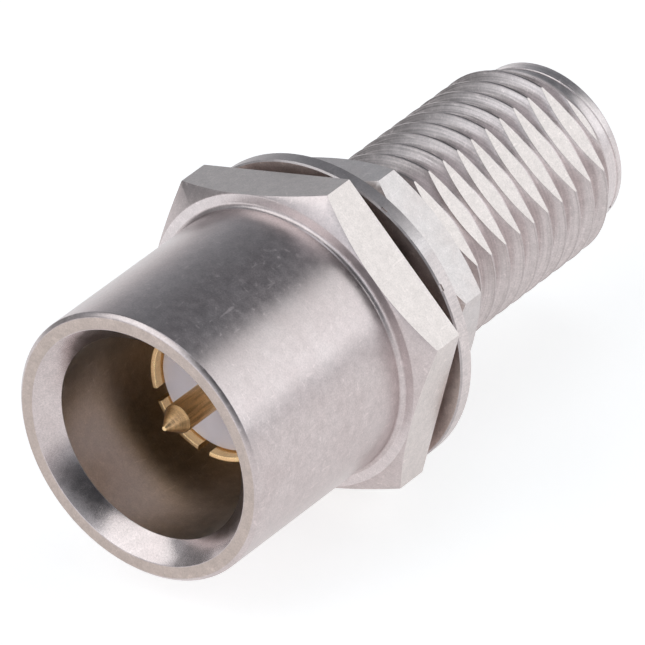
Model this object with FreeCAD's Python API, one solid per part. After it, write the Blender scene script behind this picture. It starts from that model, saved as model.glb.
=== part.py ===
import FreeCAD, Part
import math
import os

# Panel-mount coaxial adapter: a blind-mate plug in a deep cup at the front, a hex flange, and
# a threaded jack tail at the rear that a lock washer and a thin hex nut clamp to a panel.
# Millimetres. The axis runs along +Y, from the mouth of the cup to the end of the tail, and
# +Z is up. The origin is on the axis, in the flange's rear face, where the panel seats.

# The whole part is turned about its axis as it lies in the photograph.
clock_angle = 43.7

# Cup
cup_length = 8.42
cup_wall = 1.08
cup_floor_width = 0.55
cup_floor_depth = 6.50
cup_rim_chamfer = 0.15
cup_floor_bevel = 0.20
lead_in_width = 0.57
lead_in_depth = 0.65

# Hex flange
flange_shoulder = 0.4325
flange_thickness = 1.50
flange_chamfer_angle = 30.0
flange_root_radius = 0.14

# Threaded tail, drawn at its crest
thread_diameter = 6.32
thread_relief_depth = 0.43
thread_relief_length = 0.50
thread_end = 10.35
thread_chamfer_length = 0.66
flat_depth = 0.39
nose_step = 0.44
nose_chamfer = 0.10
tail_length = 11.75

# Bore for the insulators and the jack opening at the rear
line_diameter = 4.10
jack_wall = 0.42
jack_bore_depth = 1.95
jack_mouth_chamfer = 0.08

# Spring finger ring, pressed into the floor of the cup
ring_wall = 0.225
ring_tip_setback = 3.49
ring_tip_chamfer = 0.08
ring_base_width = 0.425
ring_seat_depth = 1.20
finger_count = 6
finger_slot_width = 0.42
finger_slot_root = 0.45
finger_first_slot = 7.5

# Insulators
insulator_recess = 0.31
insulator_relief = 0.06
insulator_split = 2.70

# Centre contact
pin_diameter = 0.92
pin_tip_setback = 1.26
pin_point_length = 0.63
pin_tip_radius = 0.07
pin_shoulder_length = 0.25
conductor_diameter = 1.27
collar_diameter = 1.90
collar_length = 0.60
socket_bore_diameter = 0.94
socket_depth = 2.90
socket_slot_count = 4
socket_slot_width = 0.15
socket_slot_length = 2.30
socket_setback = 0.05
socket_mouth_chamfer = 0.08

# Lock washer with twisted inner teeth, hanging on the thread by its clearance. Its rim stands
# out past the flats of the flange.
washer_overhang = 0.3175
washer_rim_width = 0.85
washer_thickness = 0.52
washer_bore_clearance = 0.19
washer_tooth_count = 8
washer_tooth_width = 1.60
washer_tooth_twist = 32.5
washer_twist_length = 0.35
washer_top_clearance = 0.04

# Thin hex nut
nut_wall = 0.64
nut_thickness = 1.70
nut_chamfer_angle = 30.0
nut_face_step = 0.24
nut_thread_clearance = 0.03
nut_countersink = 0.12

# Positions and radii that follow from the sizes above
line_radius = line_diameter / 2
ring_radius = line_radius + ring_wall
ring_base_radius = ring_radius + ring_base_width
cup_bore_radius = ring_base_radius + cup_floor_width
cup_radius = cup_bore_radius + cup_wall
lead_in_radius = cup_bore_radius + lead_in_width
flange_across_flats = 2 * (cup_radius + flange_shoulder)
thread_radius = thread_diameter / 2
relief_radius = thread_radius - thread_relief_depth
nose_radius = thread_radius - nose_step
jack_radius = nose_radius - jack_wall
flat_distance = thread_radius - flat_depth
washer_bore_radius = thread_radius + washer_bore_clearance
nut_across_flats = 2 * (thread_radius + nut_wall)
nut_face_radius = nut_across_flats / 2 - nut_face_step
mouth = -cup_length
cup_floor = mouth + cup_floor_depth
ring_tip = mouth + ring_tip_setback
ring_seat = cup_floor + ring_seat_depth
insulator_face = ring_tip + insulator_recess
pin_tip = mouth + pin_tip_setback
jack_plane = tail_length - jack_bore_depth
twist = math.radians(washer_tooth_twist)
washer_height = washer_tooth_width * math.sin(twist) + washer_thickness * math.cos(twist)
washer_drop = washer_bore_clearance - washer_top_clearance

AXIS_START = FreeCAD.Vector(0, 0, 0)
AXIS = FreeCAD.Vector(0, 1, 0)


def corner_radius(across_flats):
    return across_flats / math.sqrt(3)


def turned(corners):
    """Solid of revolution about the part's axis, from the corners of its half section.

    A corner is (radius, along) or (radius, along, rounding)."""
    count = len(corners)
    edges = []
    starts = []
    ends = []
    arcs = []
    for i in range(count):
        here = FreeCAD.Vector(corners[i][0], corners[i][1], 0)
        if len(corners[i]) == 2:
            starts.append(here)
            ends.append(here)
            arcs.append(None)
            continue
        before = FreeCAD.Vector(corners[i - 1][0], corners[i - 1][1], 0)
        after = FreeCAD.Vector(corners[(i + 1) % count][0], corners[(i + 1) % count][1], 0)
        back = (before - here).normalize()
        on = (after - here).normalize()
        half = back.getAngle(on) / 2
        rounding = corners[i][2]
        reach = rounding / math.tan(half)
        middle = (back + on).normalize()
        start = here + back * reach
        end = here + on * reach
        top = here + middle * (rounding / math.sin(half) - rounding)
        starts.append(start)
        ends.append(end)
        arcs.append(Part.Arc(start, top, end).toShape())
    for i in range(count):
        if arcs[i] is not None:
            edges.append(arcs[i])
        edges.append(Part.makeLine(ends[i], starts[(i + 1) % count]))
    section = Part.Face(Part.Wire(edges))
    return section.revolve(AXIS_START, AXIS, 360)


def hex_bar(across_flats, start, end):
    """Hexagonal bar along the axis, with one flat facing the clock angle."""
    radius = corner_radius(across_flats)
    points = []
    for i in range(7):
        angle = math.radians(clock_angle + 30 + 60 * i)
        points.append(FreeCAD.Vector(radius * math.sin(angle), start, radius * math.cos(angle)))
    return Part.Face(Part.makePolygon(points)).extrude(AXIS * (end - start))


def radial_box(width, inner, outer, start, end, angle):
    """Box that reaches from inner to outer along the radius that stands at the angle."""
    corner = FreeCAD.Vector(-width / 2, start, inner)
    box = Part.makeBox(width, end - start, outer - inner, corner)
    box.rotate(AXIS_START, AXIS, angle)
    return box


def polar_slots(blank, count, width, outer, start, end, first):
    """Cut slots that are equally spaced around the axis."""
    slots = []
    for i in range(count):
        slots.append(radial_box(width, 0, outer, start, end, first + 360.0 * i / count))
    return blank.cut(slots)


def make_connector_body():
    flange_radius = corner_radius(flange_across_flats)
    face_radius = flange_across_flats / 2
    cone_drop = (flange_radius - face_radius) * math.tan(math.radians(flange_chamfer_angle))
    blank = turned([
        (lead_in_radius, mouth),
        (cup_radius - cup_rim_chamfer, mouth),
        (cup_radius, mouth + cup_rim_chamfer),
        (cup_radius, -flange_thickness, flange_root_radius),
        (face_radius, -flange_thickness),
        (flange_radius, -flange_thickness + cone_drop),
        (flange_radius, 0),
        (relief_radius, 0),
        (relief_radius, thread_relief_length),
        (thread_radius, thread_relief_length + thread_radius - relief_radius),
        (thread_radius, thread_end),
        (nose_radius, thread_end + thread_chamfer_length),
        (nose_radius, tail_length - nose_chamfer),
        (nose_radius - nose_chamfer, tail_length),
        (jack_radius + jack_mouth_chamfer, tail_length),
        (jack_radius, tail_length - jack_mouth_chamfer),
        (jack_radius, jack_plane),
        (line_radius, jack_plane),
        (line_radius, ring_seat),
        (ring_base_radius, ring_seat),
        (ring_base_radius, cup_floor),
        (cup_bore_radius - cup_floor_bevel, cup_floor),
        (cup_bore_radius, cup_floor - cup_floor_bevel),
        (cup_bore_radius, mouth + lead_in_depth),
    ])
    # Mill the six flats of the flange out of the round blank.
    reach = flange_thickness / 4
    round_cutter = Part.makeCylinder(2 * flange_radius, flange_thickness + 2 * reach,
                                     AXIS * (-flange_thickness - reach), AXIS)
    flats = round_cutter.cut(hex_bar(flange_across_flats, -flange_thickness - reach, reach))
    body = blank.cut(flats)
    # One flat down the whole thread keys the adapter in a D-shaped panel hole.
    d_flat = radial_box(thread_diameter, flat_distance, thread_diameter,
                        thread_relief_length / 2, tail_length, clock_angle)
    return body.cut(d_flat)


def make_spring_finger_ring():
    ring = turned([
        (line_radius, ring_tip),
        (ring_radius - ring_tip_chamfer, ring_tip),
        (ring_radius, ring_tip + ring_tip_chamfer),
        (ring_radius, cup_floor),
        (ring_base_radius, cup_floor),
        (ring_base_radius, ring_seat),
        (line_radius, ring_seat),
    ])
    return polar_slots(ring, finger_count, finger_slot_width, 2 * ring_radius,
                       ring_tip - ring_tip_chamfer, cup_floor - finger_slot_root,
                       finger_first_slot)


def make_front_insulator():
    collar_start = insulator_split - collar_length / 2
    return turned([
        (pin_diameter / 2, insulator_face),
        (line_radius - insulator_relief, insulator_face),
        (line_radius - insulator_relief, cup_floor),
        (line_radius, cup_floor),
        (line_radius, insulator_split),
        (collar_diameter / 2, insulator_split),
        (collar_diameter / 2, collar_start),
        (conductor_diameter / 2, collar_start),
        (conductor_diameter / 2, insulator_face + pin_shoulder_length),
    ])


def make_rear_insulator():
    collar_end = insulator_split + collar_length / 2
    return turned([
        (collar_diameter / 2, insulator_split),
        (line_radius, insulator_split),
        (line_radius, jack_plane),
        (conductor_diameter / 2, jack_plane),
        (conductor_diameter / 2, collar_end),
        (collar_diameter / 2, collar_end),
    ])


def make_centre_contact():
    pin = pin_diameter / 2
    conductor = conductor_diameter / 2
    collar = collar_diameter / 2
    collar_start = insulator_split - collar_length / 2
    collar_end = insulator_split + collar_length / 2
    socket = socket_bore_diameter / 2
    socket_face = jack_plane - socket_setback
    contact = turned([
        (0, pin_tip),
        (pin_tip_radius, pin_tip, pin_tip_radius / 2),
        (pin, pin_tip + pin_point_length),
        (pin, insulator_face),
        (conductor, insulator_face + pin_shoulder_length),
        (conductor, collar_start),
        (collar, collar_start),
        (collar, collar_end),
        (conductor, collar_end),
        (conductor, socket_face),
        (socket + socket_mouth_chamfer, socket_face),
        (socket, socket_face - socket_mouth_chamfer),
        (socket, socket_face - socket_depth),
        (0, socket_face - socket_depth - socket),
    ])
    return polar_slots(contact, socket_slot_count, socket_slot_width, conductor_diameter,
                       socket_face - socket_slot_length, socket_face + socket_setback,
                       clock_angle)


def tooth_section(radius, angle, middle):
    """Cross section of a washer tooth, turned about the tooth's own length."""
    half_width = washer_tooth_width / 2
    half_thickness = washer_thickness / 2
    points = []
    for across, along in ((-1, -1), (1, -1), (1, 1), (-1, 1), (-1, -1)):
        x = across * half_width
        y = along * half_thickness
        points.append(FreeCAD.Vector(x * math.cos(angle) - y * math.sin(angle),
                                     middle + x * math.sin(angle) + y * math.cos(angle),
                                     radius))
    return Part.makePolygon(points)


def make_lock_washer():
    outer = flange_across_flats / 2 + washer_overhang
    rim_inner = outer - washer_rim_width
    middle = washer_height / 2
    rim = turned([
        (rim_inner, middle - washer_thickness / 2),
        (outer, middle - washer_thickness / 2),
        (outer, middle + washer_thickness / 2),
        (rim_inner, middle + washer_thickness / 2),
    ])
    # Each tooth leaves the rim flat, twists, and runs on at its full twist to the bore.
    root = rim_inner + washer_rim_width / 4
    turned_at = rim_inner - washer_twist_length
    inner_end = washer_bore_radius - washer_thickness
    twisting = Part.makeLoft([tooth_section(root, 0, middle), tooth_section(rim_inner, 0, middle),
                              tooth_section(turned_at, twist, middle)], True, True)
    straight = Part.makeLoft([tooth_section(turned_at, twist, middle),
                              tooth_section(inner_end, twist, middle)], True, True)
    pattern = twisting.fuse(straight)
    teeth = []
    for i in range(washer_tooth_count):
        tooth = pattern.copy()
        tooth.rotate(AXIS_START, AXIS, clock_angle + 360.0 * i / washer_tooth_count)
        teeth.append(tooth)
    hole = Part.makeCylinder(washer_bore_radius, 2 * washer_height,
                             AXIS * (-washer_height / 2), AXIS)
    washer = rim.multiFuse(teeth).cut(hole)
    washer.translate(FreeCAD.Vector(0, 0, -washer_drop))
    return washer


def make_hex_nut():
    front = washer_height
    back = front + nut_thickness
    radius = corner_radius(nut_across_flats)
    bore = thread_radius + nut_thread_clearance
    cone_drop = (radius - nut_face_radius) * math.tan(math.radians(nut_chamfer_angle))
    blank = turned([
        (bore + nut_countersink, front),
        (nut_face_radius, front),
        (radius, front + cone_drop),
        (radius, back - cone_drop),
        (nut_face_radius, back),
        (bore + nut_countersink, back),
        (bore, back - nut_countersink),
        (bore, front + nut_countersink),
    ])
    return blank.common(hex_bar(nut_across_flats, front, back))


SUBPARTS = {
    "connector_body": make_connector_body,
    "spring_finger_ring": make_spring_finger_ring,
    "centre_contact": make_centre_contact,
    "front_insulator": make_front_insulator,
    "rear_insulator": make_rear_insulator,
    "lock_washer": make_lock_washer,
    "hex_nut": make_hex_nut,
}

os.makedirs("parts", exist_ok=True)
for node, make in SUBPARTS.items():
    shape = make()
    if shape.ShapeType == "Compound" and len(shape.Solids) == 1:
        shape = shape.Solids[0]
    shape.exportStep("parts/" + node + ".step")
    print(node, shape.isValid(), len(shape.Solids), round(shape.Volume, 2))
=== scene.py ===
import math

import bmesh
import bpy
from mathutils import Matrix, Vector


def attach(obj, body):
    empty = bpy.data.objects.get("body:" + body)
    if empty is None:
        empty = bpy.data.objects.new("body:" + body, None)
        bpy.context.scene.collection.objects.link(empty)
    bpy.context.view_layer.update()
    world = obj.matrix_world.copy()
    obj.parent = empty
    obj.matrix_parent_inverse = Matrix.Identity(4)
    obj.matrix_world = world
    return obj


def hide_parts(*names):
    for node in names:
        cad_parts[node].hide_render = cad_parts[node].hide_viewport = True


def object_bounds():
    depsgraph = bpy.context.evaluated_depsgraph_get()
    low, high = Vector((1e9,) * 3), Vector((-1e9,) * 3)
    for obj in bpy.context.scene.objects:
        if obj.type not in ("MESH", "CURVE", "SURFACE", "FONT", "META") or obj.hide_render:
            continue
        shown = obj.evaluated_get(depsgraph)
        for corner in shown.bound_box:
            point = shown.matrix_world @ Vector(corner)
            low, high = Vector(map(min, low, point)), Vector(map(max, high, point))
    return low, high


# Coaxial panel adapter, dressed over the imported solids. Shapes are worked out in millimetres
# about the Y axis and brought to metres when a piece is finished.

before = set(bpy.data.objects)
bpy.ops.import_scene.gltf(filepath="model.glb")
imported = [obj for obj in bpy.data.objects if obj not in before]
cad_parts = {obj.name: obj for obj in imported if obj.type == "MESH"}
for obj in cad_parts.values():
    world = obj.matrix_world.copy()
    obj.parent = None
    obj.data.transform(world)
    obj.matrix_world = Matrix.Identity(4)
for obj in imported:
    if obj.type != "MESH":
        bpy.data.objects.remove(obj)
cad_low, cad_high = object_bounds()

MM = 0.001
CLOCK = math.radians(43.7)
TURN_STEPS = 160
FINE_TURN_STEPS = 96

# Sizes of the body, as in the part's own source
MOUTH = -8.42
MOUTH_CHAMFER = 0.12
CUP_RADIUS = 4.33
CUP_BORE = 3.25
CUP_FLOOR = -1.92
CUP_FLOOR_CORNER = 0.20
CUP_FILLET = 0.17
LEAD_IN_RADIUS = 3.82
LEAD_IN_DEPTH = 0.65
FLANGE_FLATS = 9.525
FLANGE_THICKNESS = 1.50
CHAMFER_SLOPE = math.tan(math.radians(30))
THREAD_RADIUS = 3.16
RELIEF_RADIUS = 2.73
RELIEF_LENGTH = 0.50
THREAD_END = 10.35
THREAD_CHAMFER_LENGTH = 0.66
NOSE_RADIUS = 2.72
NOSE_CHAMFER = 0.10
TAIL_END = 11.75
FLAT_DISTANCE = 2.77
FLAT_START = 0.25
LINE_RADIUS = 2.05
JACK_RADIUS = 2.30
JACK_CHAMFER = 0.08
JACK_PLANE = 9.80

# The thread, cut as a helix
PITCH = 25.4 / 36
THREAD_ROOT = 2.69
ROOT_WIDTH = 0.10
FLANK_SLOPE = math.tan(math.radians(30))
THREAD_STEPS = 96
GROOVE_ANGLE = math.radians(44.5)
GROOVE_AT = 4.9748
TAIL_TURNS = 15.7
TAIL_TURNS_BEFORE = 6.5
NUT_TURNS = 3.8
NUT_TURNS_BEFORE = 6

# Spring finger ring, insulators and contact
RING_RADIUS = 2.275
RING_TIP = -4.93
RING_TIP_CHAMFER = 0.08
RING_BASE = 2.70
RING_SEAT = -0.72
SLOT_COUNT = 6
SLOT_WIDTH = 0.42
SLOT_ROOT = 0.45
SLOT_FIRST = math.radians(7.5)
INSULATOR_FACE = -4.62
RELIEVED_RADIUS = 1.99
INSULATOR_SPLIT = 2.70
PIN_RADIUS = 0.46
PIN_TIP = -7.16
PIN_POINT = 0.63
PIN_TIP_RADIUS = 0.07
PIN_SHOULDER = 0.25
PIN_RINGS = 8
PIN_RING_DEPTH = 0.006
CONDUCTOR = 0.635
COLLAR_RADIUS = 0.95
COLLAR_HALF = 0.30
SOCKET_RADIUS = 0.47
SOCKET_CHAMFER = 0.08
SOCKET_FACE = 9.75
SOCKET_DEPTH = 2.90
SOCKET_SLOT = 2.30
SOCKET_SLOT_WIDTH = 0.15
SOCKET_SLOT_COUNT = 4

# Lock washer and nut
WASHER_RADIUS = 5.08
WASHER_RIM = 0.85
WASHER_THICKNESS = 0.52
WASHER_BORE = 3.35
WASHER_EDGE = 0.05
WASHER_DROP = 0.15
NICK_ANGLES = (26, 58)
NICK_WIDTH = 0.22
NICK_DEPTH = 0.035
TOOTH_COUNT = 8
TOOTH_WIDTH = 1.60
TOOTH_TWIST = math.radians(32.5)
TOOTH_TWIST_LENGTH = 0.35
TOOTH_TWIST_STEPS = 5
WASHER_HEIGHT = TOOTH_WIDTH * math.sin(TOOTH_TWIST) + WASHER_THICKNESS * math.cos(TOOTH_TWIST)
NUT_FLATS = 7.60
NUT_THICKNESS = 1.70
NUT_FACE = 3.56
NUT_MAJOR = 3.19
NUT_MINOR = 2.80
NUT_COUNTERSINK = 0.40
THREAD_CLEARANCE = 0.03

# Broken edges
SHARP_ANGLE = math.radians(20)
SMOOTH_ANGLE = math.radians(30)
BREAK_SEGMENTS = 2
BODY_BREAK = 0.022
FLANGE_BREAK = 0.035
RING_BREAK = 0.02
BEAD_BREAK = 0.03
CONTACT_BREAK = 0.008
NUT_TURNED_BREAK = 0.02
NUT_HEX_BREAK = 0.03
FLANGE_EDGES_OUTSIDE = CUP_RADIUS + 0.3
FLANGE_EDGES_BEFORE = 0.05
NUT_EDGES_OUTSIDE = NUT_FACE - 0.1

# How far the cutting tools reach past what they cut, and points that count as one
HEX_PAST = 0.3
FLANGE_HEX_REACH = 9
NUT_HEX_REACH = 7
FLAT_TOOL_WIDTH = 8
FLAT_TOOL_DEPTH = 2
GROOVE_PAST = 0.04
RIDGE_PAST = 0.05
SLOT_PAST = 0.2
SLOT_TOOL_DEPTH = 2
SLOT_TOOL_RADIUS = 2.4
SOCKET_SLOT_PAST = 0.1
SOCKET_SLOT_TOOL_DEPTH = 0.7
SOCKET_SLOT_TOOL_RADIUS = 0.55
NICK_TOOL_SIZE = 0.2
BORE_TOOL_START = -1
BORE_TOOL_END = 3
SAME_POINT = 1e-4
SAME_TURNED_POINT = 1e-5


# Shapes

def piece(name, bm):
    """Object in millimetres from a bmesh, which is used up."""
    mesh = bpy.data.meshes.new(name)
    bm.to_mesh(mesh)
    bm.free()
    made = bpy.data.objects.new(name, mesh)
    bpy.context.scene.collection.objects.link(made)
    return made


def turned(corners, edge_break=0, steps=TURN_STEPS):
    """Solid of revolution about Y from the (radius, along) corners of its half section."""
    bm = bmesh.new()
    bm.faces.new([bm.verts.new((r, y, 0)) for r, y in corners])
    if edge_break:
        sharp = [v for v in bm.verts
                 if v.co.x > edge_break and v.calc_edge_angle(0) > SHARP_ANGLE]
        bmesh.ops.bevel(bm, geom=sharp, offset=edge_break, segments=BREAK_SEGMENTS, profile=0.5,
                        affect="VERTICES", clamp_overlap=True, material=-1)
    bmesh.ops.delete(bm, geom=bm.faces[:], context="FACES_ONLY")
    bmesh.ops.spin(bm, geom=bm.verts[:] + bm.edges[:], cent=(0, 0, 0), axis=(0, 1, 0),
                   angle=2 * math.pi, steps=steps, use_merge=True)
    bmesh.ops.remove_doubles(bm, verts=bm.verts, dist=SAME_TURNED_POINT)
    on_axis = [e for e in bm.edges if not e.link_faces]
    bmesh.ops.delete(bm, geom=on_axis, context="EDGES")
    bmesh.ops.recalc_face_normals(bm, faces=bm.faces)
    return bm


def fillet(radius, along, size, steps=6):
    """Points of a concave quarter arc between a shaft of that radius and a face behind it."""
    turns = [math.radians(180 - 90 * i / steps) for i in range(steps + 1)]
    return [(radius + size + size * math.cos(a), along - size + size * math.sin(a)) for a in turns]


def turn_about_axis(bm, angle):
    bmesh.ops.rotate(bm, cent=(0, 0, 0), matrix=Matrix.Rotation(angle, 3, "Y"), verts=bm.verts)


def block(size, centre, angle):
    """Box of that size, centred out along the radius at the angle."""
    bm = bmesh.new()
    bmesh.ops.create_cube(bm, size=1)
    bmesh.ops.scale(bm, vec=size, verts=bm.verts)
    bmesh.ops.translate(bm, vec=centre, verts=bm.verts)
    turn_about_axis(bm, angle)
    return bm


def joined(parts):
    """One bmesh out of several that don't touch."""
    whole = bmesh.new()
    for part in parts:
        mesh = bpy.data.meshes.new("part")
        part.to_mesh(mesh)
        part.free()
        whole.from_mesh(mesh)
        bpy.data.meshes.remove(mesh)
    return whole


def hex_surround(across_flats, reach, start, end):
    """What a hex die removes: a hexagonal frame around a bar with one flat at the clock."""
    bm = bmesh.new()
    for radius in (across_flats / math.sqrt(3), reach):
        bmesh.ops.create_circle(bm, cap_ends=False, segments=6, radius=radius)
    bmesh.ops.bridge_loops(bm, edges=bm.edges[:])
    # The circles lie in XY, with a corner on +Y. Stand them up across the axis.
    bmesh.ops.rotate(bm, cent=(0, 0, 0), matrix=Matrix.Rotation(math.pi / 2, 3, "X"),
                     verts=bm.verts)
    turn_about_axis(bm, CLOCK + math.radians(30))
    bmesh.ops.translate(bm, vec=(0, start, 0), verts=bm.verts)
    side = bmesh.ops.extrude_face_region(bm, geom=bm.faces[:])
    moved = [g for g in side["geom"] if isinstance(g, bmesh.types.BMVert)]
    bmesh.ops.translate(bm, vec=(0, end - start, 0), verts=moved)
    bmesh.ops.recalc_face_normals(bm, faces=bm.faces)
    return bm


def thread_groove(inner, inner_width, outer, outer_width, start, turns):
    """Helical tool that cuts a right-hand groove, from the angle opposite the groove's mark."""
    bm = bmesh.new()
    corners = [(inner, -inner_width / 2), (outer, -outer_width / 2),
               (outer, outer_width / 2), (inner, inner_width / 2)]
    bm.faces.new([bm.verts.new((0, start + y, r)) for r, y in corners])
    turn_about_axis(bm, GROOVE_ANGLE + math.pi)
    steps = round(turns * THREAD_STEPS)
    bmesh.ops.spin(bm, geom=bm.faces[:], cent=(0, 0, 0), axis=(0, 1, 0),
                   dvec=(0, PITCH / THREAD_STEPS, 0), angle=2 * math.pi * turns, steps=steps,
                   use_merge=False)
    bmesh.ops.recalc_face_normals(bm, faces=bm.faces)
    return bm


def carve(target, tool, operation="DIFFERENCE"):
    """Cuts the tool out of the target, or joins it on, and throws the tool away."""
    cutter = piece("tool", tool)
    modifier = target.modifiers.new("carve", "BOOLEAN")
    modifier.object = cutter
    modifier.operation = operation
    modifier.solver = "EXACT"
    depsgraph = bpy.context.evaluated_depsgraph_get()
    mesh = bpy.data.meshes.new_from_object(target.evaluated_get(depsgraph))
    target.modifiers.clear()
    target.data = mesh
    bpy.data.objects.remove(cutter)


def break_edges(target, width, wanted):
    """Bevels the sharp edges whose middle the test accepts."""
    bm = bmesh.new()
    bm.from_mesh(target.data)
    bmesh.ops.remove_doubles(bm, verts=bm.verts, dist=SAME_POINT)
    bmesh.ops.dissolve_degenerate(bm, edges=bm.edges, dist=SAME_POINT)
    sharp = []
    for edge in bm.edges:
        middle = (edge.verts[0].co + edge.verts[1].co) / 2
        if len(edge.link_faces) == 2 and edge.calc_face_angle(0) > SHARP_ANGLE:
            if wanted(middle):
                sharp.append(edge)
    bmesh.ops.bevel(bm, geom=sharp, offset=width, segments=BREAK_SEGMENTS, profile=0.5,
                    affect="EDGES", clamp_overlap=True, material=-1)
    bm.to_mesh(target.data)
    bm.free()


def finish_piece(made, name, node, body, finish):
    """Brings a piece to metres and gives it its finish and its place in the assembly."""
    made.name = name
    made.data.name = name
    bm = bmesh.new()
    bm.from_mesh(made.data)
    bmesh.ops.remove_doubles(bm, verts=bm.verts, dist=SAME_POINT)
    bmesh.ops.dissolve_degenerate(bm, edges=bm.edges, dist=SAME_TURNED_POINT)
    bmesh.ops.scale(bm, vec=(MM, MM, MM), verts=bm.verts)
    for face in bm.faces:
        face.smooth = True
    bm.to_mesh(made.data)
    bm.free()
    made.data.set_sharp_from_angle(angle=SMOOTH_ANGLE)
    shading = made.modifiers.new("shading", "WEIGHTED_NORMAL")
    shading.keep_sharp = True
    made.data.materials.clear()
    made.data.materials.append(finish)
    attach(made, body)
    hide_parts(node)


# Nodes for the finishes

def new_finish(name):
    finish = bpy.data.materials.new(name)
    finish.use_nodes = True
    finish.node_tree.nodes.clear()
    return finish, finish.node_tree


def add(tree, kind, inputs=None, **settings):
    """Node of that kind, with its settings, and values or links on its inputs."""
    node = tree.nodes.new("ShaderNode" + kind)
    for key, value in settings.items():
        setattr(node, key, value)
    for key, value in (inputs or {}).items():
        if isinstance(value, bpy.types.NodeSocket):
            tree.links.new(value, node.inputs[key])
        else:
            node.inputs[key].default_value = value
    return node


def calculated(tree, operation, first, second=0.0):
    return add(tree, "Math", {0: first, 1: second}, operation=operation).outputs[0]


def total(tree, first, second):
    return calculated(tree, "ADD", first, second)


def both(tree, first, second):
    """Product of two values, which for two shares is one only where both are."""
    return calculated(tree, "MULTIPLY", first, second)


def either(tree, first, second):
    return calculated(tree, "MAXIMUM", first, second)


def scaled(tree, place, factors):
    return add(tree, "VectorMath", {0: place, 1: factors}, operation="MULTIPLY").outputs[0]


def times(tree, vector, factor):
    return add(tree, "VectorMath", {0: vector, "Scale": factor}, operation="SCALE").outputs[0]


def dot(tree, place, along):
    return add(tree, "VectorMath", {0: place, 1: along}, operation="DOT_PRODUCT").outputs["Value"]


def spread(tree, value, low, high, to_low, to_high):
    """Brings what lies between low and high to the new limits, and holds the rest at them."""
    return add(tree, "MapRange", {"Value": value, "From Min": low, "From Max": high,
                                  "To Min": to_low, "To Max": to_high}).outputs["Result"]


def rise(tree, value, low, high):
    return spread(tree, value, low, high, 0.0, 1.0)


def fall(tree, value, low, high):
    return spread(tree, value, low, high, 1.0, 0.0)


def noise(tree, place, scale, detail=2.0, roughness=0.5):
    return add(tree, "TexNoise", {"Vector": place, "Scale": scale, "Detail": detail,
                                  "Roughness": roughness}).outputs["Fac"]


def mixed(tree, share, first, second):
    return add(tree, "Mix", {"Factor": share, "A": first, "B": second},
               data_type="RGBA").outputs["Result"]


def opaque(colour):
    return (*colour, 1)


def millimetres(tree):
    """Object coordinates in millimetres."""
    place = add(tree, "TexCoord").outputs["Object"]
    return times(tree, place, 1 / MM)


def radius_of(tree, place):
    across = scaled(tree, place, (1, 0, 1))
    return add(tree, "VectorMath", {0: across}, operation="LENGTH").outputs["Value"]


def lathe_place(tree, place):
    """Coordinates that hardly change round the axis, so that a pattern on them runs in rings."""
    behind = add(tree, "SeparateXYZ", {0: place}).outputs[1]
    return add(tree, "CombineXYZ", {0: radius_of(tree, place), 1: behind, 2: 0.0}).outputs[0]


# Where the zones of the metal fade in or out. FACING is how squarely a face looks along the
# axis. The others are in millimetres: RADIUS and RADII from the axis, BEHIND back from the
# panel's seat, OFF_FLAT from the key flat, ACROSS to the right, and OUT along the angle of the burr
# and its painted highlight.
END_FACING = (0.95, 0.99)
FLAT_FACING = (0.2, 0.4)
RIM_FACING = (0.3, 0.5)
MOUTH_BEHIND = (MOUTH + 0.1, MOUTH + 0.2)
SHOULDER_RADIUS = (CUP_RADIUS, CUP_RADIUS + 0.05)
SHOULDER_BEHIND = (-FLANGE_THICKNESS + 0.1, -FLANGE_THICKNESS + 0.2)
LEAD_IN_RADII = (LEAD_IN_RADIUS - 0.02, LEAD_IN_RADIUS)
LEAD_IN_BEHIND = (MOUTH + LEAD_IN_DEPTH - 0.02, MOUTH + LEAD_IN_DEPTH)
INSIDE_RADIUS = (CUP_BORE, CUP_BORE + 0.02)
INSIDE_BEHIND = (CUP_FLOOR + 0.1, CUP_FLOOR + 0.2)
FLANGE_RADIUS = (4.70, 4.75)
THREAD_BEHIND = (0.4, 0.6)
THREAD_RADII = (2.5, 2.6)
VALLEY_RADII = (THREAD_ROOT, 3.08)
VALLEY_BEHIND = (THREAD_END, THREAD_END + 0.4)
CREST_RADII = (3.12, 3.15)
OFF_FLAT = (0.004, 0.008)
SHADE_LINES_ACROSS = (-2.0, 2.0)
RIM_RADII = (4.95, 5.0)
BURR_AND_HIGHLIGHT_ANGLE = math.radians(39)
BURR_AND_HIGHLIGHT_OUT = (4.91, 4.96)
POINT_BEHIND = (PIN_TIP + PIN_POINT, PIN_TIP + PIN_POINT + 0.01)
PIN_RADII = (PIN_RADIUS + 0.02, PIN_RADIUS + 0.04)
PIN_BEHIND = (INSULATOR_FACE, INSULATOR_FACE + 0.02)

# Shares that two zones keep where they have faded out: the painted light of the roots on the nose,
# and the painted shade lines of the thread on its right side
VALLEY_PAST_THREAD = 0.6
SHADE_LINES_ON_RIGHT = 0.3


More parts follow.
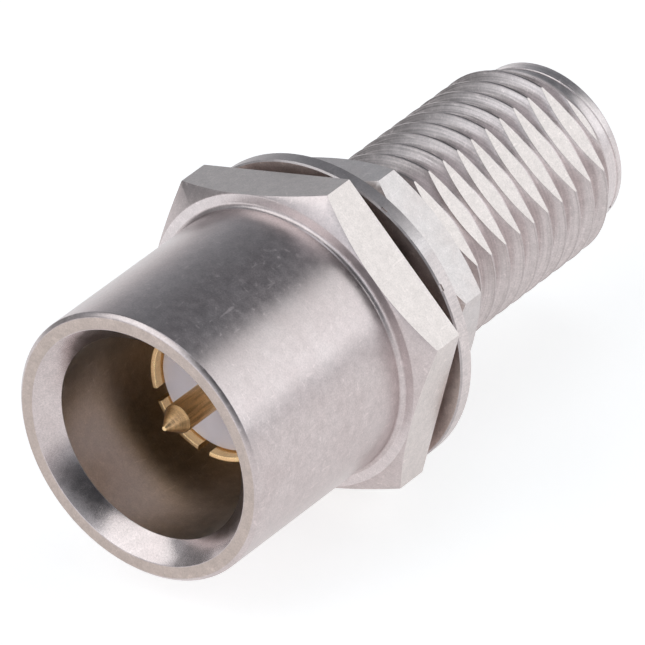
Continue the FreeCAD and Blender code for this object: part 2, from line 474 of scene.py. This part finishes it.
def zones(tree, place):
    """Shares from none to one of the places that the tools left unlike the rest, and of those whose
    colour is painted light, shade or highlight.
    """
    parts = add(tree, "SeparateXYZ", {0: place}).outputs
    across, behind = parts[0], parts[1]
    radius = radius_of(tree, place)
    normal = add(tree, "SeparateXYZ", {0: add(tree, "TexCoord").outputs["Normal"]}).outputs[1]
    facing = calculated(tree, "ABSOLUTE", normal)

    def out_at(angle):
        """How far out a place lies in the direction at the angle round the axis."""
        return dot(tree, place, (math.sin(angle), 0, math.cos(angle)))

    ends = rise(tree, facing, *END_FACING)
    shoulder = both(tree, ends, rise(tree, radius, *SHOULDER_RADIUS))
    shoulder = both(tree, shoulder, fall(tree, behind, *SHOULDER_BEHIND))
    thread = both(tree, rise(tree, behind, *THREAD_BEHIND), rise(tree, radius, *THREAD_RADII))
    valley = both(tree, thread, fall(tree, radius, *VALLEY_RADII))
    past_end = spread(tree, behind, *VALLEY_BEHIND, 1.0, VALLEY_PAST_THREAD)
    off = calculated(tree, "ABSOLUTE", calculated(tree, "SUBTRACT", out_at(CLOCK), FLAT_DISTANCE))
    key_flat = both(tree, thread, fall(tree, off, *OFF_FLAT))
    flange = both(tree, rise(tree, radius, *FLANGE_RADIUS), fall(tree, facing, *FLAT_FACING))
    flats = either(tree, flange, key_flat)
    turned_thread = both(tree, thread, calculated(tree, "SUBTRACT", 1.0, flats))
    # Painted shade lines on the thread, strongest on the left and weaker towards the right.
    shade_lines_side = spread(tree, across, *SHADE_LINES_ACROSS, 1.0, SHADE_LINES_ON_RIGHT)
    rim = both(tree, rise(tree, radius, *RIM_RADII), fall(tree, facing, *RIM_FACING))
    point = fall(tree, behind, *POINT_BEHIND)
    pin = both(tree, fall(tree, radius, *PIN_RADII), fall(tree, behind, *PIN_BEHIND))
    return {
        "ends": ends,
        "mouth": both(tree, ends, fall(tree, behind, *MOUTH_BEHIND)),
        "shoulder": shoulder,
        "lead_in": both(tree, fall(tree, radius, *LEAD_IN_RADII),
                        fall(tree, behind, *LEAD_IN_BEHIND)),
        "inside": both(tree, fall(tree, radius, *INSIDE_RADIUS),
                       fall(tree, behind, *INSIDE_BEHIND)),
        "flats": flats,
        "thread": turned_thread,
        "thread_shade_lines": both(tree, turned_thread, shade_lines_side),
        # Painted light: the thread roots and the nose behind them are lightened against their
        # shade. Painted shade: the crests are darkened to dim their highlight.
        "valley": both(tree, valley, past_end),
        "crest": both(tree, thread, rise(tree, radius, *CREST_RADII)),
        "rim": rim,
        # Painted highlight: the rim is near white round the burr's angle, where the burr's hatch
        # marks also lie.
        "burr_and_painted_highlight": both(tree, rim, rise(tree, out_at(BURR_AND_HIGHLIGHT_ANGLE), *BURR_AND_HIGHLIGHT_OUT)),
        "point": point,
        "shaft": calculated(tree, "SUBTRACT", pin, point),
    }


# Finishes. A noise is given as its scale, detail and roughness, and a range as the ends that
# it is read between, with what they are brought to where it isn't none and one.
WANDER = (0.8, 3.0, 0.6)
WANDER_RANGE = (0.3, 0.7)
MOTTLE = (3.5, 3.0, 0.6)
MOTTLE_RANGE = (0.36, 0.64, 0.94, 1.06)
MOTTLE_DULL_RANGE = (0.3, 0.7)
MOTTLE_DULL = 0.03
GRAIN = (20.0, 2.0, 0.6)
GRAIN_RANGE = (0.25, 0.75, 0.87, 1.13)
FLECKS = (7.0, 2.0, 0.5)
FLECK_RANGE = (0.68, 0.74)
SCRATCH_FACTORS = ((9.0, 1.3, 5.0), (2.0, 11.0, 3.0))
SCRATCH = (1.0, 1.0, 0.5)
SCRATCH_RANGE = (0.71, 0.75)
FLECK_LIGHT = 0.16
FLECK_DULL = 0.08
STRIPE = (1.0, 2.0, 0.6)
STRIPE_RANGE = (0.35, 0.65)
TOOL_RINGS = (13.0, 4.0, 0.65)
WAX_RINGS = (12.0, 3.0, 0.6)
WAX_CLOUD = (2.0, 2.0, 0.5)
WAX_CLOUD_DARK = 0.95
WAX_RING_HEIGHT = 2e-6


def metal(name, light, dark, rough, line_height, tints, lines=None, stripes=None, duller=None):
    """Machined metal: tool rings, grain, blotches, flecks and short scratches, with its zones,
    where some colours are painted light, shade or highlight.

    The last four are given for each zone: its colour, how many times as high its tool lines
    stand, its stripes as (whether they run round the axis, factors on the coordinates, darker
    by, lighter by), and its added roughness.
    """
    finish, tree = new_finish(name)
    place = millimetres(tree)
    zone = zones(tree, place)
    lathe = lathe_place(tree, place)
    mottle = noise(tree, place, *MOTTLE)
    flecks = rise(tree, noise(tree, place, *FLECKS), *FLECK_RANGE)
    for factors in SCRATCH_FACTORS:
        scratch = noise(tree, scaled(tree, place, factors), *SCRATCH)
        flecks = either(tree, flecks, rise(tree, scratch, *SCRATCH_RANGE))
    flecks = both(tree, flecks, fall(tree, zone["lead_in"], 0, 1))

    wander = rise(tree, noise(tree, place, *WANDER), *WANDER_RANGE)
    tone = mixed(tree, wander, opaque(light), opaque(dark))
    for key, tint in tints.items():
        tone = mixed(tree, zone[key], tone, opaque(tint))
    uneven = both(tree, spread(tree, noise(tree, place, *GRAIN), *GRAIN_RANGE),
                  spread(tree, mottle, *MOTTLE_RANGE))
    bright = total(tree, uneven, spread(tree, flecks, 0, 1, 0, FLECK_LIGHT))
    for key, (around, factors, dark_by, light_by) in (stripes or {}).items():
        fine = noise(tree, scaled(tree, lathe if around else place, factors), *STRIPE)
        stripe = spread(tree, fine, *STRIPE_RANGE, -dark_by, light_by)
        bright = total(tree, bright, both(tree, stripe, zone[key]))
    tone = times(tree, tone, bright)

    dull = total(tree, spread(tree, flecks, 0, 1, 0, FLECK_DULL),
                 spread(tree, mottle, *MOTTLE_DULL_RANGE, rough - MOTTLE_DULL, rough + MOTTLE_DULL))
    for key, more in (duller or {}).items():
        dull = total(tree, dull, spread(tree, zone[key], 0, 1, 0, more))
    height = noise(tree, lathe, *TOOL_RINGS)
    for key, factor in (lines or {}).items():
        height = both(tree, height, spread(tree, zone[key], 0, 1, 1.0, factor))
    bump = add(tree, "Bump", {"Strength": 1.0, "Distance": line_height, "Height": height})
    shader = add(tree, "BsdfPrincipled", {"Base Color": tone, "Metallic": 1.0, "Roughness": dull,
                                          "Normal": bump.outputs[0]})
    add(tree, "OutputMaterial", {"Surface": shader.outputs[0]})
    return finish


def waxy(name, colour, rough):
    """White fluoropolymer: turned, waxy, with light passing a little way in."""
    finish, tree = new_finish(name)
    place = millimetres(tree)
    rings = noise(tree, lathe_place(tree, place), *WAX_RINGS)
    cloud = rise(tree, noise(tree, place, *WAX_CLOUD), *WANDER_RANGE)
    tone = mixed(tree, cloud, opaque(colour), opaque(c * WAX_CLOUD_DARK for c in colour))
    bump = add(tree, "Bump", {"Strength": 1.0, "Distance": WAX_RING_HEIGHT, "Height": rings})
    shader = add(tree, "BsdfPrincipled", {"Base Color": tone, "Roughness": rough,
                                          "Normal": bump.outputs[0],
                                          "Subsurface Weight": 0.15, "Subsurface Scale": 0.0004,
                                          "Subsurface Radius": (1.0, 0.9, 0.85)})
    add(tree, "OutputMaterial", {"Surface": shader.outputs[0]})
    return finish


stainless = metal(
    "turned_stainless", light=(0.58, 0.51, 0.505), dark=(0.54, 0.465, 0.46), rough=0.31,
    line_height=3e-7,
    # Painted light and shade: the mouth face is darkened to dim its reflection, the shoulder face,
    # bore, thread and thread roots with the nose are lightened against their shade, and the crests
    # are darkened to dim their highlight.
    tints={"mouth": (0.49, 0.41, 0.375), "shoulder": (0.70, 0.635, 0.635),
           "inside": (0.61, 0.545, 0.50), "thread": (0.61, 0.545, 0.54),
           "valley": (0.74, 0.665, 0.66), "crest": (0.50, 0.44, 0.435),
           "flats": (0.645, 0.58, 0.56)},
    lines={"thread": 14.0, "flats": 0.05},
    # Painted shade: dark and light lines along the thread, strongest on its left side.
    stripes={"thread_shade_lines": (True, (20.0, 4.0, 1.0), 0.36, 0.14)},
    duller={"lead_in": -0.08, "inside": 0.05})
hardware = metal(
    "milled_stainless", light=(0.61, 0.565, 0.56), dark=(0.58, 0.52, 0.51), rough=0.31,
    line_height=4e-7,
    tints={"ends": (0.50, 0.43, 0.41)})
stamped = metal(
    "stamped_stainless", light=(0.50, 0.455, 0.455), dark=(0.45, 0.40, 0.40), rough=0.44,
    # Painted light: the washer's end faces are lightened against the shade between it and the
    # flange.
    line_height=2.5e-6,
    # Painted highlight: the burr's zone of the rim is near white.
    tints={"ends": (0.66, 0.56, 0.52), "rim": (0.66, 0.59, 0.58), "burr_and_painted_highlight": (0.95, 0.90, 0.90)},
    stripes={"rim": (False, (14.0, 1.5, 14.0), 0.06, 0.06),
             "burr_and_painted_highlight": (False, (16.0, 1.0, 16.0), 0.18, 0.18)})
gold = metal(
    "gold_plating", light=(0.97, 0.72, 0.40), dark=(0.93, 0.65, 0.32), rough=0.24,
    line_height=1e-6,
    tints={"ends": (0.95, 0.66, 0.38), "point": (0.92, 0.64, 0.34), "shaft": (0.86, 0.59, 0.30)},
    lines={"point": 2.0, "shaft": 9.0},
    stripes={"point": (True, (5.0, 13.0, 1.0), 0.26, 0.06),
             "shaft": (False, (9.0, 0.7, 9.0), 0.32, 0.12)},
    duller={"point": -0.09, "shaft": 0.10})
ptfe = waxy("white_ptfe", colour=(1.0, 0.905, 0.97), rough=0.42)


# Pieces

def dress_body():
    """A turned blank, then flange flats, thread and key flat cut from it."""
    corner = FLANGE_FLATS / math.sqrt(3)
    cone_drop = (corner - FLANGE_FLATS / 2) * CHAMFER_SLOPE
    body = piece("body", turned([
        (LEAD_IN_RADIUS, MOUTH),
        (CUP_RADIUS - MOUTH_CHAMFER, MOUTH),
        (CUP_RADIUS, MOUTH + MOUTH_CHAMFER),
        *fillet(CUP_RADIUS, -FLANGE_THICKNESS, CUP_FILLET),
        (FLANGE_FLATS / 2, -FLANGE_THICKNESS),
        (corner, -FLANGE_THICKNESS + cone_drop),
        (corner, 0),
        (RELIEF_RADIUS, 0),
        (RELIEF_RADIUS, RELIEF_LENGTH),
        (THREAD_RADIUS, RELIEF_LENGTH + THREAD_RADIUS - RELIEF_RADIUS),
        (THREAD_RADIUS, THREAD_END),
        (NOSE_RADIUS, THREAD_END + THREAD_CHAMFER_LENGTH),
        (NOSE_RADIUS, TAIL_END - NOSE_CHAMFER),
        (NOSE_RADIUS - NOSE_CHAMFER, TAIL_END),
        (JACK_RADIUS + JACK_CHAMFER, TAIL_END),
        (JACK_RADIUS, TAIL_END - JACK_CHAMFER),
        (JACK_RADIUS, JACK_PLANE),
        (LINE_RADIUS, JACK_PLANE),
        (LINE_RADIUS, RING_SEAT),
        (RING_BASE, RING_SEAT),
        (RING_BASE, CUP_FLOOR),
        (CUP_BORE - CUP_FLOOR_CORNER, CUP_FLOOR),
        (CUP_BORE, CUP_FLOOR - CUP_FLOOR_CORNER),
        (CUP_BORE, MOUTH + LEAD_IN_DEPTH),
    ], BODY_BREAK))
    carve(body, hex_surround(FLANGE_FLATS, FLANGE_HEX_REACH,
                             -FLANGE_THICKNESS - HEX_PAST, HEX_PAST))
    outer = THREAD_RADIUS + GROOVE_PAST
    outer_width = ROOT_WIDTH + 2 * (outer - THREAD_ROOT) * FLANK_SLOPE
    carve(body, thread_groove(THREAD_ROOT, ROOT_WIDTH, outer, outer_width,
                              GROOVE_AT - TAIL_TURNS_BEFORE * PITCH, TAIL_TURNS))
    carve(body, block((FLAT_TOOL_WIDTH, TAIL_END, FLAT_TOOL_DEPTH),
                      (0, FLAT_START + TAIL_END / 2, FLAT_DISTANCE + FLAT_TOOL_DEPTH / 2), CLOCK))
    break_edges(body, FLANGE_BREAK,
                lambda middle: middle.xz.length > FLANGE_EDGES_OUTSIDE
                and middle.y < FLANGE_EDGES_BEFORE)
    finish_piece(body, "turned_body", "connector_body", "connector", stainless)


def dress_ring():
    ring = piece("ring", turned([
        (LINE_RADIUS, RING_TIP),
        (RING_RADIUS - RING_TIP_CHAMFER, RING_TIP),
        (RING_RADIUS, RING_TIP + RING_TIP_CHAMFER),
        (RING_RADIUS, CUP_FLOOR),
        (RING_BASE, CUP_FLOOR),
        (RING_BASE, RING_SEAT),
        (LINE_RADIUS, RING_SEAT),
    ], RING_BREAK))
    length = CUP_FLOOR - SLOT_ROOT - RING_TIP + SLOT_PAST
    middle = (0, RING_TIP - SLOT_PAST + length / 2, SLOT_TOOL_RADIUS)
    carve(ring, joined([block((SLOT_WIDTH, length, SLOT_TOOL_DEPTH), middle,
                              SLOT_FIRST + i * 2 * math.pi / SLOT_COUNT)
                        for i in range(SLOT_COUNT)]))
    finish_piece(ring, "finger_ring", "spring_finger_ring", "connector", gold)


def dress_insulators():
    front = piece("front", turned([
        (PIN_RADIUS, INSULATOR_FACE),
        (RELIEVED_RADIUS, INSULATOR_FACE),
        (RELIEVED_RADIUS, CUP_FLOOR),
        (LINE_RADIUS, CUP_FLOOR),
        (LINE_RADIUS, INSULATOR_SPLIT),
        (COLLAR_RADIUS, INSULATOR_SPLIT),
        (COLLAR_RADIUS, INSULATOR_SPLIT - COLLAR_HALF),
        (CONDUCTOR, INSULATOR_SPLIT - COLLAR_HALF),
        (CONDUCTOR, INSULATOR_FACE + PIN_SHOULDER),
    ], BEAD_BREAK))
    finish_piece(front, "front_bead", "front_insulator", "connector", ptfe)
    rear = piece("rear", turned([
        (COLLAR_RADIUS, INSULATOR_SPLIT),
        (LINE_RADIUS, INSULATOR_SPLIT),
        (LINE_RADIUS, JACK_PLANE),
        (CONDUCTOR, JACK_PLANE),
        (CONDUCTOR, INSULATOR_SPLIT + COLLAR_HALF),
        (COLLAR_RADIUS, INSULATOR_SPLIT + COLLAR_HALF),
    ], BEAD_BREAK))
    finish_piece(rear, "rear_bead", "rear_insulator", "connector", ptfe)


def point_rings():
    """Corners of the rings that the tool left on the pin's point, high and low in turn."""
    slope = (PIN_RADIUS - PIN_TIP_RADIUS) / PIN_POINT
    corners = []
    for i in range(1, 2 * PIN_RINGS):
        along = PIN_POINT * i / (2 * PIN_RINGS)
        low = (i % 2) * PIN_RING_DEPTH
        corners.append((PIN_TIP_RADIUS + along * slope - low, PIN_TIP + along))
    return corners


def dress_contact():
    contact = piece("contact", turned([
        (0, PIN_TIP),
        (PIN_TIP_RADIUS, PIN_TIP),
        *point_rings(),
        (PIN_RADIUS, PIN_TIP + PIN_POINT),
        (PIN_RADIUS, INSULATOR_FACE),
        (CONDUCTOR, INSULATOR_FACE + PIN_SHOULDER),
        (CONDUCTOR, INSULATOR_SPLIT - COLLAR_HALF),
        (COLLAR_RADIUS, INSULATOR_SPLIT - COLLAR_HALF),
        (COLLAR_RADIUS, INSULATOR_SPLIT + COLLAR_HALF),
        (CONDUCTOR, INSULATOR_SPLIT + COLLAR_HALF),
        (CONDUCTOR, SOCKET_FACE),
        (SOCKET_RADIUS + SOCKET_CHAMFER, SOCKET_FACE),
        (SOCKET_RADIUS, SOCKET_FACE - SOCKET_CHAMFER),
        (SOCKET_RADIUS, SOCKET_FACE - SOCKET_DEPTH),
        (0, SOCKET_FACE - SOCKET_DEPTH - SOCKET_RADIUS),
    ], CONTACT_BREAK, FINE_TURN_STEPS))
    size = (SOCKET_SLOT_WIDTH, SOCKET_SLOT + SOCKET_SLOT_PAST, SOCKET_SLOT_TOOL_DEPTH)
    middle = (0, SOCKET_FACE - SOCKET_SLOT / 2 + SOCKET_SLOT_PAST / 2, SOCKET_SLOT_TOOL_RADIUS)
    carve(contact, joined([block(size, middle, CLOCK + i * 2 * math.pi / SOCKET_SLOT_COUNT)
                           for i in range(SOCKET_SLOT_COUNT)]))
    finish_piece(contact, "centre_contact_pin", "centre_contact", "connector", gold)


def washer_tooth(angle, middle, half, rim_inner):
    """One tooth, drawn inwards from the rim and twisted about its own length."""
    bm = bmesh.new()
    root = rim_inner + WASHER_RIM / 4
    corners = [(-1, -1), (1, -1), (1, 1), (-1, 1)]
    bm.faces.new([bm.verts.new((x * TOOTH_WIDTH / 2, middle + y * half, root))
                  for x, y in corners])
    twist_step = (TOOTH_TWIST_LENGTH / TOOTH_TWIST_STEPS, TOOTH_TWIST / TOOTH_TWIST_STEPS)
    moves = [(root - rim_inner, 0)]
    moves += [twist_step] * TOOTH_TWIST_STEPS
    moves += [(rim_inner - TOOTH_TWIST_LENGTH - WASHER_BORE + WASHER_THICKNESS, 0)]
    tip = bm.faces[:]
    buried = []
    for inwards, turn in moves:
        grown = bmesh.ops.extrude_face_region(bm, geom=tip)["geom"]
        verts = [g for g in grown if isinstance(g, bmesh.types.BMVert)]
        bmesh.ops.delete(bm, geom=buried, context="FACES_ONLY")
        tip = [g for g in grown if isinstance(g, bmesh.types.BMFace)]
        buried = tip
        bmesh.ops.translate(bm, vec=(0, 0, -inwards), verts=verts)
        bmesh.ops.rotate(bm, cent=(0, middle, 0), matrix=Matrix.Rotation(-turn, 3, "Z"),
                         verts=verts)
    bmesh.ops.recalc_face_normals(bm, faces=bm.faces)
    turn_about_axis(bm, angle)
    return bm


def dress_washer():
    """A flat rim and teeth twisted out of it, hanging on the thread by its clearance."""
    middle = WASHER_HEIGHT / 2
    half = WASHER_THICKNESS / 2
    rim_inner = WASHER_RADIUS - WASHER_RIM
    washer = piece("washer", turned([
        (rim_inner, middle - half),
        (WASHER_RADIUS - WASHER_EDGE, middle - half),
        (WASHER_RADIUS, middle - half + WASHER_EDGE),
        (WASHER_RADIUS, middle + half - WASHER_EDGE),
        (WASHER_RADIUS - WASHER_EDGE, middle + half),
        (rim_inner, middle + half),
    ]))
    carve(washer, joined([washer_tooth(CLOCK + i * 2 * math.pi / TOOTH_COUNT, middle, half,
                                       rim_inner)
                          for i in range(TOOTH_COUNT)]), "UNION")
    carve(washer, turned([(0, BORE_TOOL_START), (WASHER_BORE, BORE_TOOL_START),
                          (WASHER_BORE, BORE_TOOL_END), (0, BORE_TOOL_END)]))
    nick_out = WASHER_RADIUS - NICK_DEPTH + NICK_TOOL_SIZE / 2
    carve(washer, joined([block((NICK_WIDTH, NICK_TOOL_SIZE, NICK_TOOL_SIZE),
                                (0, middle - half, nick_out), math.radians(angle))
                          for angle in NICK_ANGLES]))
    for vertex in washer.data.vertices:
        vertex.co.z -= WASHER_DROP
    finish_piece(washer, "toothed_washer", "lock_washer", "washer", stamped)


def dress_nut():
    """Chamfered on both faces, with its own thread, which meshes with the one on the tail."""
    front = WASHER_HEIGHT
    back = front + NUT_THICKNESS
    corner = NUT_FLATS / math.sqrt(3)
    cone_drop = (corner - NUT_FACE) * CHAMFER_SLOPE
    nut = piece("nut", turned([
        (NUT_MINOR + NUT_COUNTERSINK, front),
        (NUT_FACE, front),
        (corner, front + cone_drop),
        (corner, back - cone_drop),
        (NUT_FACE, back),
        (NUT_MINOR + NUT_COUNTERSINK, back),
        (NUT_MINOR, back - NUT_COUNTERSINK),
        (NUT_MINOR, front + NUT_COUNTERSINK),
    ], NUT_TURNED_BREAK))
    carve(nut, hex_surround(NUT_FLATS, NUT_HEX_REACH, front - HEX_PAST, back + HEX_PAST))
    inner = NUT_MINOR - RIDGE_PAST
    groove_at_inner, groove_at_major = (
        PITCH + 2 * THREAD_CLEARANCE - ROOT_WIDTH - 2 * (radius - THREAD_ROOT) * FLANK_SLOPE
        for radius in (inner, NUT_MAJOR))
    carve(nut, thread_groove(inner, groove_at_inner, NUT_MAJOR, groove_at_major,
                             GROOVE_AT - NUT_TURNS_BEFORE * PITCH, NUT_TURNS))
    break_edges(nut, NUT_HEX_BREAK, lambda middle: middle.xz.length > NUT_EDGES_OUTSIDE)
    finish_piece(nut, "thin_nut", "hex_nut", "nut", hardware)


dress_body()
dress_ring()
dress_insulators()
dress_contact()
dress_washer()
dress_nut()


# Floor, lights and camera. Angles are in degrees, with the azimuth from the tail's direction
# round to the right, and distances are in metres.
FLOOR_HALF_WIDTH = 1.5
FLOOR_GREY = 0.6
FLOOR_GLOW = 0.68
LAMP_DISTANCE = 0.15
LAMP_COLOUR = (0.96, 1.0, 1.0)
CARD_COLOUR = (0.93, 0.97, 1)
GLOW_COLOUR = (0.93, 1.0, 1.06)

# Colours of the dome by the height of a direction, as its sine
DOME = ((0.0, (0.80, 0.80, 0.81)), (0.10, (0.60, 0.62, 0.65)), (0.22, (0.42, 0.45, 0.48)),
        (0.35, (0.32, 0.35, 0.38)), (0.55, (0.22, 0.245, 0.265)), (0.72, (0.125, 0.135, 0.15)))

CAMERA_PLACE = (0.174504, -0.233037, 0.194274)
LOOK_AZIMUTH = -36.7735
LOOK_ELEVATION = -33.7355
PHOTO_WIDTH = 645
FOCAL_PIXELS = 12001.8
SENSOR_WIDTH = 36


def direction(azimuth, elevation):
    """Unit vector towards those angles."""
    a, e = math.radians(azimuth), math.radians(elevation)
    return Vector((math.sin(a) * math.cos(e), math.cos(a) * math.cos(e), math.sin(e)))


def studio_floor():
    bm = bmesh.new()
    bmesh.ops.create_grid(bm, x_segments=1, y_segments=1, size=FLOOR_HALF_WIDTH)
    bmesh.ops.translate(bm, vec=(0, 0, cad_low.z), verts=bm.verts)
    floor = piece("floor", bm)
    finish, tree = new_finish("floor_white")
    path = add(tree, "LightPath")
    seen = path.outputs["Is Camera Ray"]
    for kind in ("Is Glossy Ray", "Is Transmission Ray"):
        seen = either(tree, seen, path.outputs[kind])
    diffuse = add(tree, "BsdfDiffuse", {"Color": opaque([FLOOR_GREY] * 3)})
    glow = add(tree, "Emission", {"Color": (1, 1, 1, 1),
                                  "Strength": spread(tree, seen, 0, 1, 0, FLOOR_GLOW)})
    lit = add(tree, "AddShader", {0: diffuse.outputs[0], 1: glow.outputs[0]})
    add(tree, "OutputMaterial", {"Surface": lit.outputs[0]})
    floor.data.materials.append(finish)


def softbox(name, azimuth, elevation, width, height, radiance):
    """Soft rectangular lamp whose width and height are given as angles seen from the part."""
    data = bpy.data.lights.new(name, "AREA")
    data.shape = "RECTANGLE"
    data.size, data.size_y = (2 * LAMP_DISTANCE * math.tan(math.radians(angle / 2))
                              for angle in (width, height))
    data.energy = radiance * math.pi * data.size * data.size_y
    data.color = LAMP_COLOUR
    made = bpy.data.objects.new(name, data)
    out = direction(azimuth, elevation)
    made.location = out * LAMP_DISTANCE
    made.rotation_mode = "QUATERNION"
    made.rotation_quaternion = out.to_track_quat("Z", "Y")
    bpy.context.scene.collection.objects.link(made)


def grey_card(name, azimuth, distance, width, height, level):
    """Card that stands on the floor beside the part, for its reflection alone."""
    bm = bmesh.new()
    bmesh.ops.create_grid(bm, x_segments=1, y_segments=1, size=0.5)
    bmesh.ops.scale(bm, vec=(width, height, 1), verts=bm.verts)
    turn = direction(azimuth, 0).to_track_quat("Z", "Y").to_matrix()
    bmesh.ops.rotate(bm, cent=(0, 0, 0), matrix=turn, verts=bm.verts)
    standing = Vector((0, 0, cad_low.z + height / 2))
    bmesh.ops.translate(bm, vec=direction(azimuth, 0) * distance + standing, verts=bm.verts)
    made = piece(name, bm)
    finish, tree = new_finish(name)
    glow = add(tree, "Emission", {"Color": opaque(CARD_COLOUR), "Strength": level})
    add(tree, "OutputMaterial", {"Surface": glow.outputs[0]})
    made.data.materials.append(finish)
    made.visible_camera = False
    made.visible_shadow = False
    made.visible_diffuse = False


def studio_world():
    """Dome of light: pale low down, darker high up and round the camera, with brighter zones."""
    world = bpy.data.worlds.new("studio")
    bpy.context.scene.world = world
    world.use_nodes = True
    tree = world.node_tree
    tree.nodes.clear()
    towards = add(tree, "TexCoord").outputs["Generated"]
    height = add(tree, "SeparateXYZ", {0: towards}).outputs[2]
    ramp = add(tree, "ValToRGB", {0: height})
    stops = ramp.color_ramp.elements
    for stop, (position, colour) in ((stops[0], DOME[0]), (stops[1], DOME[-1])):
        stop.position, stop.color = position, opaque(colour)
    for position, colour in DOME[1:-1]:
        stops.new(position).color = opaque(colour)

    def around(azimuth, elevation, inner, outer, far, near):
        """Value that goes smoothly from far to near around a direction."""
        fade = add(tree, "MapRange", {"Value": dot(tree, towards, direction(azimuth, elevation)),
                                      "From Min": math.cos(math.radians(outer)),
                                      "From Max": math.cos(math.radians(inner)),
                                      "To Min": far, "To Max": near},
                   interpolation_type="SMOOTHSTEP")
        return fade.outputs["Result"]

    behind_camera = around(143, 34, inner=12, outer=30, far=1.0, near=0.3)
    front_glow = around(180, 11, inner=12, outer=38, far=0.0, near=0.66)
    top_glow = around(0, 84, inner=8, outer=25, far=0.0, near=1.2)
    right_glow = around(50, -2, inner=12, outer=28, far=0.0, near=0.15)
    bright = total(tree, total(tree, front_glow, top_glow), right_glow)
    dome = add(tree, "VectorMath", {0: times(tree, ramp.outputs[0], behind_camera),
                                    1: times(tree, GLOW_COLOUR, bright)}, operation="ADD")
    back = add(tree, "Background", {"Color": dome.outputs[0], "Strength": 1.0})
    add(tree, "OutputWorld", {"Surface": back.outputs[0]})


def photo_camera():
    data = bpy.data.cameras.new("photo_camera")
    data.sensor_width = SENSOR_WIDTH
    data.lens = FOCAL_PIXELS * SENSOR_WIDTH / PHOTO_WIDTH
    data.clip_start = 0.01
    data.clip_end = 10
    camera = bpy.data.objects.new("photo_camera", data)
    camera.location = CAMERA_PLACE
    camera.rotation_mode = "QUATERNION"
    camera.rotation_quaternion = direction(LOOK_AZIMUTH, LOOK_ELEVATION).to_track_quat("-Z", "Y")
    bpy.context.scene.collection.objects.link(camera)
    bpy.context.scene.camera = camera


studio_floor()
studio_world()
grey_card("card_left", azimuth=-108, distance=0.045, width=0.042, height=0.020, level=0.28)
softbox("softbox_right", azimuth=51, elevation=31, width=57, height=40, radiance=1.2)
softbox("softbox_front", azimuth=-144, elevation=44, width=53, height=40, radiance=1.55)
photo_camera()
bpy.context.scene.view_settings.view_transform = "Standard"
